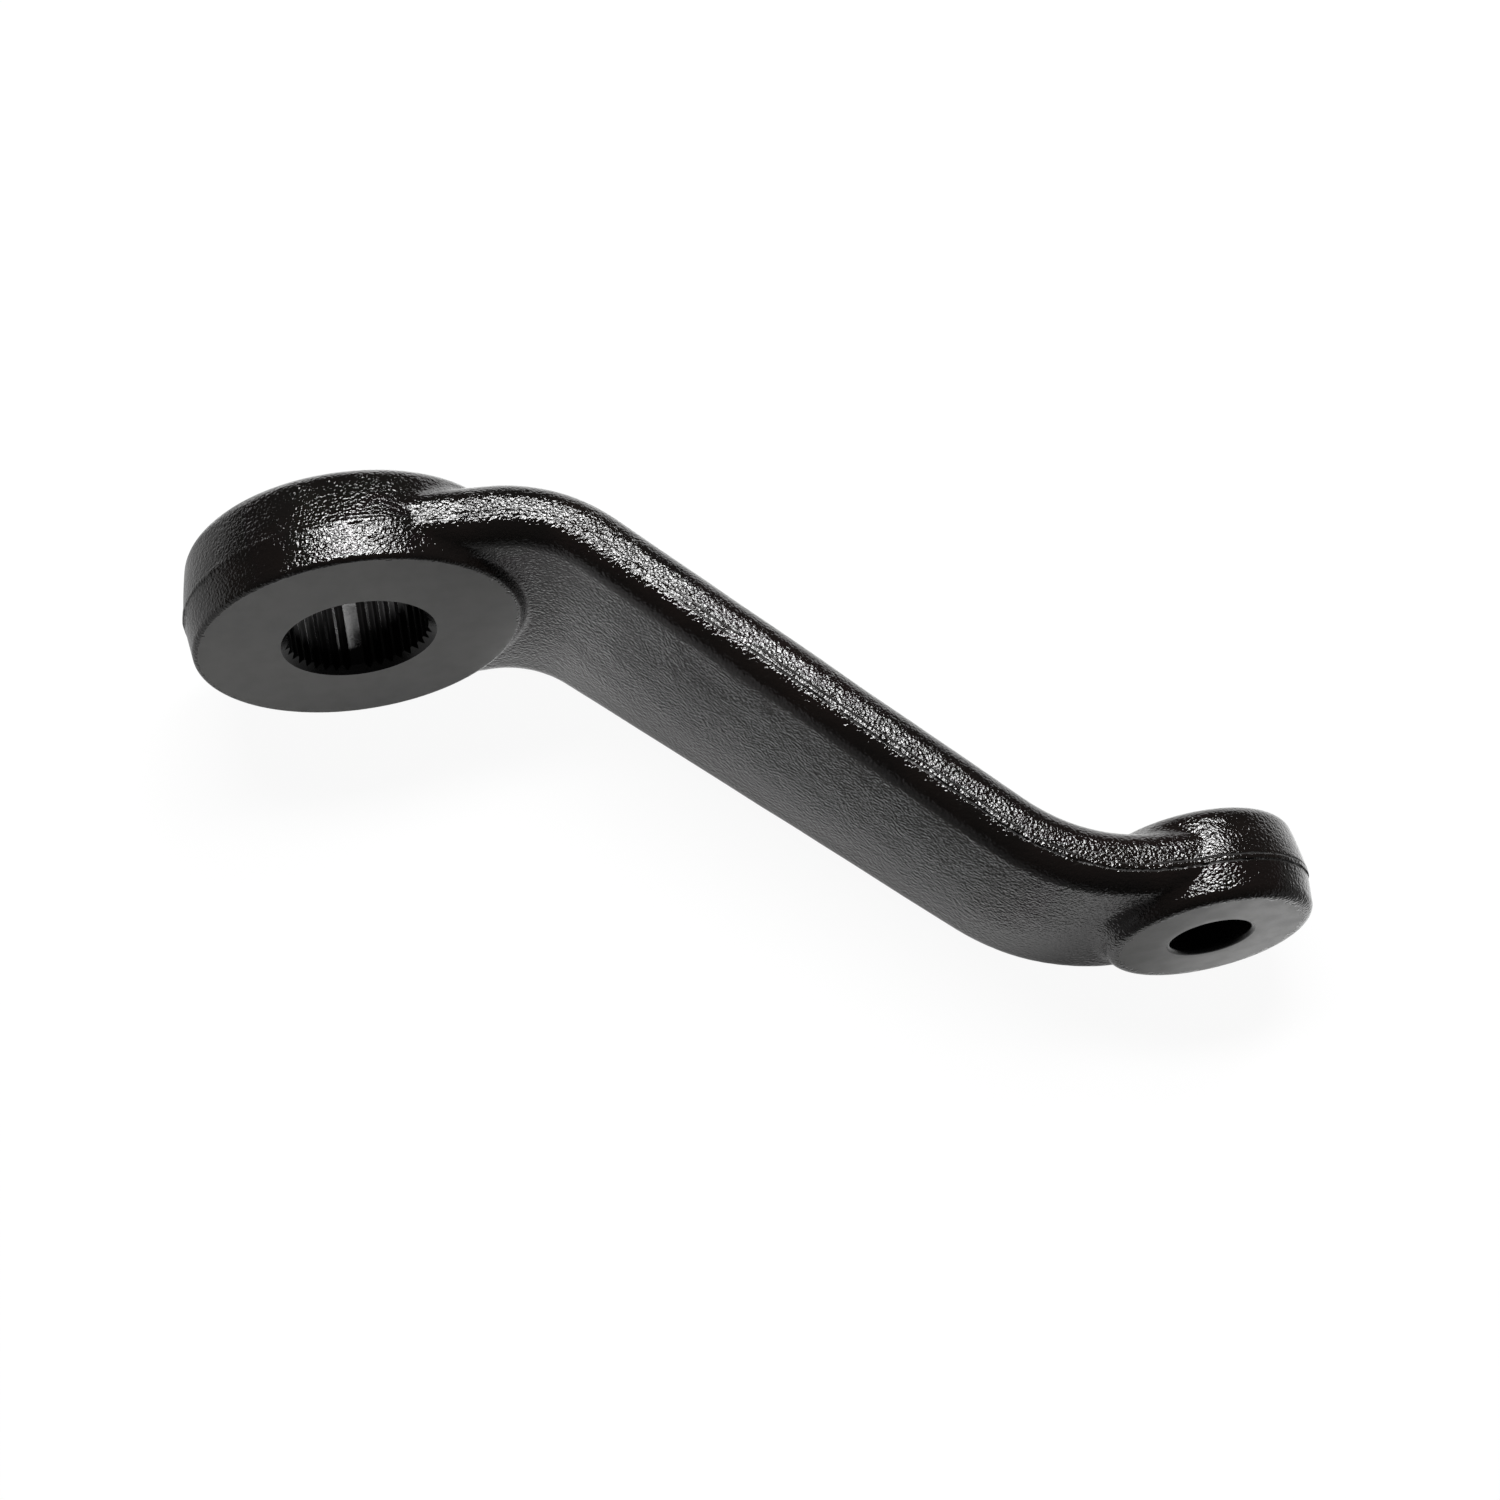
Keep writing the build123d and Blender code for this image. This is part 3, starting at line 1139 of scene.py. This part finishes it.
@dataclass(frozen=True)
class CoatTone:
    """The coat's colour: where its clouds, streaks and spots of dust begin and end."""

    cloud_scale: float = 38.0
    cloud_edges: tuple[float, float] = (0.32, 0.7)
    streak_turn: tuple[float, float, float] = (0.4, 0.9, 0.3)
    streak_stretch: tuple[float, float, float] = (1.0, 7.0, 2.0)
    streak_scale: float = 160.0
    streak_edges: tuple[float, float] = (0.66, 0.78)
    spot_scale: float = 420.0
    spot_edges: tuple[float, float] = (0.68, 0.8)
    gate_scale: float = 24.0
    gate_edges: tuple[float, float] = (0.5, 0.72)

    def group(self) -> bpy.types.NodeTree:
        """A black that drifts towards brown in slow clouds, with dust and fine scuffs.

        Returns:
            The group, with its three colours and the dust's amount as its inputs.
        """
        graph, source, sink = new_group(
            "coat_tone",
            {"Deep": ("NodeSocketColor", (0.008, 0.0075, 0.007, 1)),
             "Warm": ("NodeSocketColor", (0.013, 0.0105, 0.009, 1)),
             "Dust": ("NodeSocketColor", (0.07, 0.068, 0.062, 1)),
             "Dust Amount": ("NodeSocketFloat", 0.2)},
            {"Color": "NodeSocketColor", "Dust Mask": "NodeSocketFloat"},
        )
        where = graph.object_place()
        clouds = graph.noise(where, self.cloud_scale, detail=4.0, roughness=0.6, distortion=0.4)
        clouds = graph.span(clouds, *self.cloud_edges)
        base = graph.blend(clouds, source.outputs["Deep"], source.outputs["Warm"])
        stretched = graph.fill(graph.node("ShaderNodeMapping"), {
            "Vector": where, "Rotation": self.streak_turn, "Scale": self.streak_stretch,
        }).outputs[0]
        streaks = graph.noise(stretched, self.streak_scale, detail=3.0, roughness=0.65)
        streaks = graph.span(streaks, *self.streak_edges)
        spots = graph.span(graph.noise(where, self.spot_scale, roughness=0.7), *self.spot_edges)
        gate = graph.span(graph.noise(where, self.gate_scale), *self.gate_edges)
        dust = graph.math("MULTIPLY", graph.math("MAXIMUM", streaks, spots), gate, clamp=True)
        mask = graph.product(dust, source.outputs["Dust Amount"])
        graph.fill(sink, {"Color": graph.blend(mask, base, source.outputs["Dust"]), "Dust Mask": mask})
        return graph.tree


@dataclass(frozen=True)
class FlashLine:
    """The thin dark line on either side of the flash, broken and a little wandering.

    Its place and edges are distances from the middle of the flash in mm, its depth is in metres.
    Its darker colour is painted shade in the line's dip; the dip and the added roughness are real.
    """

    wander_scale: float = 300.0
    wander: float = 0.5
    place: float = 0.62
    edges: tuple[float, float] = (0.08, 0.30)
    break_scale: float = 190.0
    break_edges: tuple[float, float] = (0.3, 0.55)
    depth: float = 0.0001
    darkness: float = 0.6
    dark: Colour = (0.002, 0.002, 0.002, 1)
    roughness: float = 0.7

    def mask(self, graph: Graph, where: Socket) -> Socket:
        """How deep the line is: it reads the distance to the flash and its clearness."""
        wander = graph.product(graph.less(graph.noise(where, self.wander_scale), 0.5), self.wander)
        away = graph.math("ABSOLUTE", graph.total(graph.attribute("parting"), wander))
        aside = graph.math("ABSOLUTE", graph.less(away, self.place))
        line = graph.span(aside, *self.edges, 1.0, 0.0)
        broken = graph.span(graph.noise(where, self.break_scale), *self.break_edges)
        return graph.product(graph.product(line, broken), graph.attribute("seam"))


@dataclass(frozen=True)
class CoatFinish:
    """A black coat and how it lies on one kind of surface. Heights in mm, colours linear."""

    name: str
    deep: Colour
    warm: Colour
    roughness: tuple[float, float]
    pebble_size: float
    pebble_height: float
    leather_height: float
    fine_height: float
    dust: float
    specular: float = 0.5
    ior: float = 1.5
    dust_roughness: float = 0.3
    sheen_scale: float = 240.0
    sheen_edges: tuple[float, float] = (0.3, 0.7)
    flash_line: FlashLine | None = None
    ring_marks: float = 0.0
    ring_scale: float = 900.0

    def material(self, grain: bpy.types.NodeTree, tone: bpy.types.NodeTree) -> bpy.types.Material:
        """Builds the material from the shared grain and tone groups.

        Args:
            grain: the coat_grain group.
            tone: the coat_tone group.

        Returns:
            The finished material.
        """
        made = bpy.data.materials.new(self.name)
        made.use_nodes = True
        graph = Graph(made.node_tree)
        where = graph.object_place()
        relief = graph.fill(graph.node("ShaderNodeGroup", node_tree=grain), {
            "Pebble Size": self.pebble_size, "Pebble Height": self.pebble_height,
            "Leather Height": self.leather_height, "Fine Height": self.fine_height,
        })
        colour = graph.fill(graph.node("ShaderNodeGroup", node_tree=tone), {
            "Deep": self.deep, "Warm": self.warm, "Dust Amount": self.dust,
        })
        height, base = relief.outputs["Height"], colour.outputs["Color"]
        sheen = graph.noise(where, self.sheen_scale, detail=3.0, roughness=0.6)
        rough = graph.span(sheen, *self.sheen_edges, *self.roughness)
        dusty = graph.product(colour.outputs["Dust Mask"], self.dust_roughness)
        rough = graph.total(rough, dusty, clamp=True)
        if self.flash_line:
            line = self.flash_line.mask(graph, where)
            height = graph.less(height, graph.product(line, self.flash_line.depth))
            # The flash line's darker colour is painted shade in its dip.
            base = graph.blend(graph.product(line, self.flash_line.darkness), base, self.flash_line.dark)
            rough = graph.total(rough, graph.product(line, self.flash_line.roughness), clamp=True)
        if self.ring_marks:
            marks = graph.noise(where, self.ring_scale)
            height = graph.total(height, graph.product(marks, self.ring_marks * MM))
        bump = graph.node("ShaderNodeBump")
        graph.fill(bump, {"Strength": 1.0, "Distance": 1.0, "Height": height})
        graph.fill(made.node_tree.nodes["Principled BSDF"], {
            "IOR": self.ior, "Specular IOR Level": self.specular, "Base Color": base,
            "Roughness": rough, "Normal": bump.outputs["Normal"],
        })
        return made


FORGED_COAT = CoatFinish(
    name="forged_coat", deep=(0.0036, 0.0030, 0.0027, 1), warm=(0.0068, 0.0048, 0.0042, 1),
    roughness=(0.05, 0.09), pebble_size=0.62, pebble_height=0.23, leather_height=0.014,
    fine_height=0.001, dust=0.2, flash_line=FlashLine(),
)
# The machined faces' grey base is partly their own satin tone and partly painted reflection of the pale
# table.
FACED_COAT = CoatFinish(
    name="faced_coat", deep=(0.062, 0.062, 0.058, 1), warm=(0.074, 0.072, 0.066, 1),
    roughness=(0.30, 0.38), pebble_size=0.8, pebble_height=0.003, leather_height=0.003,
    fine_height=0.0015, dust=0.15, specular=0.85,
)
BORE_COAT = CoatFinish(
    name="bore_coat", deep=(0.0030, 0.0028, 0.0028, 1), warm=(0.0045, 0.0042, 0.0042, 1),
    roughness=(0.2, 0.3), pebble_size=0.5, pebble_height=0.02, leather_height=0.006,
    fine_height=0.002, dust=0.1, specular=0.3, ring_marks=0.004,
)
# The coat down in the bore's grooves is darker and duller: painted shade.
GROOVE_SHADE_COAT = CoatFinish(
    name="groove_shade_coat", deep=(0.0020, 0.0018, 0.0018, 1), warm=(0.0032, 0.0030, 0.0030, 1),
    roughness=(0.38, 0.5), pebble_size=0.4, pebble_height=0.02, leather_height=0.008,
    fine_height=0.002, dust=0.05, specular=0.12, ring_marks=0.004,
)


# Studio


@dataclass(frozen=True)
class SoftPanel:
    """A rectangular soft lamp: where it hangs as a direction, its size in metres and its power."""

    name: str
    heading: tuple[float, float, float]
    size: tuple[float, float]
    power: float
    distance: float = 1.25
    aim: tuple[float, float, float] = (0.05, 0.0, 0.0)

    def hang(self) -> None:
        """Adds the lamp, facing the aim, with its long side level."""
        data = bpy.data.lights.new(self.name, "AREA")
        data.shape = "RECTANGLE"
        data.size, data.size_y = self.size
        data.energy = self.power
        made = bpy.data.objects.new(self.name, data)
        heading = Vector(self.heading).normalized()
        side = Vector((0, 1, 0)).cross(heading).normalized()
        turn = Matrix((side, heading.cross(side), heading)).transposed()
        place = Vector(self.aim) + heading * self.distance
        made.matrix_world = Matrix.Translation(place) @ turn.to_4x4()
        bpy.context.scene.collection.objects.link(made)


@dataclass(frozen=True)
class TableShade:
    """How white the table is where the coat mirrors it.

    Its lights and shades are painted light and painted shade, which only mirrored rays see. They
    are emission strengths, and edges are places in metres between which a step fades. The ramp's
    foot is where the arm comes down closest to the table.
    """

    ramp_foot: float = 0.0475
    plain: float = 0.28
    foot_light: float = 0.95
    eye_light: float = 1.0
    hub_light: float = 0.21
    ramp_shade: float = 0.12
    end_share: float = 0.2
    foot_rise: tuple[float, float] = (0.003, 0.014)
    foot_fall: tuple[float, float] = (0.013, 0.024)
    eye_edges: tuple[float, float] = (-0.022, 0.004)
    hub_edges: tuple[float, float] = (0.024, 0.050)
    ramp_edges: tuple[float, float] = (0.050, 0.120)
    end_edges: tuple[float, float] = (0.190, 0.225)

    def strength(self, graph: Graph) -> Socket:
        """Emission strength over the table.

        The distance in front of the ramp's foot is (foot - x - y) / sqrt 2 and the place along
        it is (x - y) / sqrt 2. The painted table is lightest in a strip at the foot and under the eye,
        and the rest lies in a soft painted shade, a little lighter under the hub, each step a smooth one.
        """
        place = graph.fill(graph.node("ShaderNodeSeparateXYZ"), {0: graph.object_place()})
        x, y = place.outputs["X"], place.outputs["Y"]
        away = graph.product(graph.less(self.ramp_foot, graph.total(x, y)), math.sqrt(0.5))
        along = graph.product(graph.less(x, y), math.sqrt(0.5))
        rise = graph.span(away, *self.foot_rise, self.plain, self.foot_light)
        drop = self.foot_light - self.plain
        drop = graph.span(along, *self.ramp_edges, drop, drop + self.ramp_shade)
        fall = graph.product(graph.span(away, *self.foot_fall), drop)
        eye = graph.span(away, *self.eye_edges, self.eye_light, 0.0)
        hub = graph.span(along, *self.hub_edges, self.hub_light, 0.0)
        level = graph.less(graph.total(graph.total(rise, eye), hub), fall)
        return graph.product(level, graph.span(along, *self.end_edges, 1.0, self.end_share))


@dataclass(frozen=True)
class Studio:
    """Camera, table, two soft panels over the far side of the table, and a dim room.

    The table lies at the CAD box's lowest side, to a tenth of a millimetre.
    """

    camera_place: tuple[float, float, float] = (0.00505, -0.2844, 0.5576)
    camera_right: tuple[float, float, float] = (0.9813, -0.1901, 0.0309)
    camera_up: tuple[float, float, float] = (0.1604, 0.8951, 0.4162)
    camera_back: tuple[float, float, float] = (-0.1068, -0.4034, 0.9088)
    lens: float = 76.35
    sensor: float = 36.0
    nearest: float = 0.01
    floor_level: float = round(float(cad_box[0][2]), 4)
    floor_size: float = 6.0
    floor_lift: float = 0.94
    table_colour: Colour = (0.86, 0.86, 0.86, 1)
    table_shade: TableShade = TableShade()
    panels: tuple[SoftPanel, ...] = (
        SoftPanel("near_panel", heading=(0.03, 0.31, 0.90), size=(0.84, 0.20), power=21.5),
        SoftPanel("far_panel", heading=(0.30, 0.435, 0.80), size=(0.44, 0.12), power=5.0),
    )
    sky: float = 0.05

    def camera(self) -> None:
        """Places the camera at the photograph's viewing angle."""
        data = bpy.data.cameras.new("camera")
        data.sensor_width = self.sensor
        data.lens = self.lens
        data.clip_start = self.nearest
        made = bpy.data.objects.new("camera", data)
        turn = Matrix((self.camera_right, self.camera_up, self.camera_back)).transposed()
        made.matrix_world = Matrix.Translation(self.camera_place) @ turn.to_4x4()
        bpy.context.scene.collection.objects.link(made)
        bpy.context.scene.camera = made

    def floor(self) -> None:
        """Lays the pale table."""
        half = self.floor_size / 2
        mesh = bpy.data.meshes.new("floor")
        corners = [(-half, -half), (half, -half), (half, half), (-half, half)]
        mesh.from_pydata([(x, y, self.floor_level) for x, y in corners], [], [(0, 1, 2, 3)])
        mesh.materials.append(self.table())
        made = bpy.data.objects.new("floor", mesh)
        bpy.context.scene.collection.objects.link(made)

    def table(self) -> bpy.types.Material:
        """The table's material.

        Light that falls on it meets a plain diffuse colour. The camera sees that lifted towards
        white, so that the shadow stays, and mirrored rays see only the table's painted light and
        painted shade.

        Returns:
            The material.
        """
        made = bpy.data.materials.new("pale_table")
        made.use_nodes = True
        graph = Graph(made.node_tree)
        shader = graph.fill(made.node_tree.nodes["Principled BSDF"], {
            "Base Color": self.table_colour, "Roughness": 1.0, "Specular IOR Level": 0.0,
        })
        path = graph.node("ShaderNodeLightPath").outputs
        mirrored = graph.math("MAXIMUM", path["Is Glossy Ray"], path["Is Transmission Ray"])
        # Mirrored rays see the table's painted light and painted shade.
        strength = graph.node("ShaderNodeMix")
        graph.fill(strength, {0: mirrored, 2: 1.0, 3: self.table_shade.strength(graph)})
        white = graph.fill(graph.node("ShaderNodeEmission"), {"Strength": strength.outputs[0]})
        seen = graph.product(path["Is Camera Ray"], self.floor_lift)
        share = graph.math("MAXIMUM", seen, mirrored)
        mix = graph.node("ShaderNodeMixShader")
        graph.fill(mix, {0: share, 1: shader.outputs[0], 2: white.outputs[0]})
        graph.fill(made.node_tree.nodes["Material Output"], {"Surface": mix.outputs[0]})
        return made

    def world(self) -> None:
        """A dim even room, which the camera sees as white."""
        world = bpy.data.worlds.new("room")
        bpy.context.scene.world = world
        world.use_nodes = True
        graph = Graph(world.node_tree)
        nodes = world.node_tree.nodes
        room = graph.fill(nodes["Background"], {"Color": WHITE, "Strength": self.sky})
        seen = graph.fill(graph.node("ShaderNodeBackground"), {"Color": WHITE, "Strength": 1.0})
        by_camera = graph.node("ShaderNodeLightPath").outputs["Is Camera Ray"]
        mix = graph.node("ShaderNodeMixShader")
        graph.fill(mix, {0: by_camera, 1: room.outputs[0], 2: seen.outputs[0]})
        graph.fill(nodes["World Output"], {"Surface": mix.outputs[0]})

    def build(self) -> None:
        """Sets up the whole studio."""
        self.camera()
        self.floor()
        for panel in self.panels:
            panel.hang()
        self.world()
        bpy.context.scene.view_settings.view_transform = "Standard"


def main() -> None:
    """Builds the studio and the forging, and reports each piece."""
    logging.basicConfig(level=logging.INFO, format="%(name)s: %(message)s")
    Studio().build()
    grain, tone = CoatGrain().group(), CoatTone().group()
    mesh = PitmanArm().mesh()
    for coat in (FORGED_COAT, FACED_COAT, BORE_COAT, GROOVE_SHADE_COAT):
        mesh.materials.append(coat.material(grain, tone))
    arm = bpy.data.objects.new("pitman_arm_skin", mesh)
    bpy.context.scene.collection.objects.link(arm)
    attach(arm, BODY)
    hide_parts(NODE)
    logger.info("%s: %d points, %d faces", arm.name, len(mesh.vertices), len(mesh.polygons))


if __name__ == "__main__":
    main()
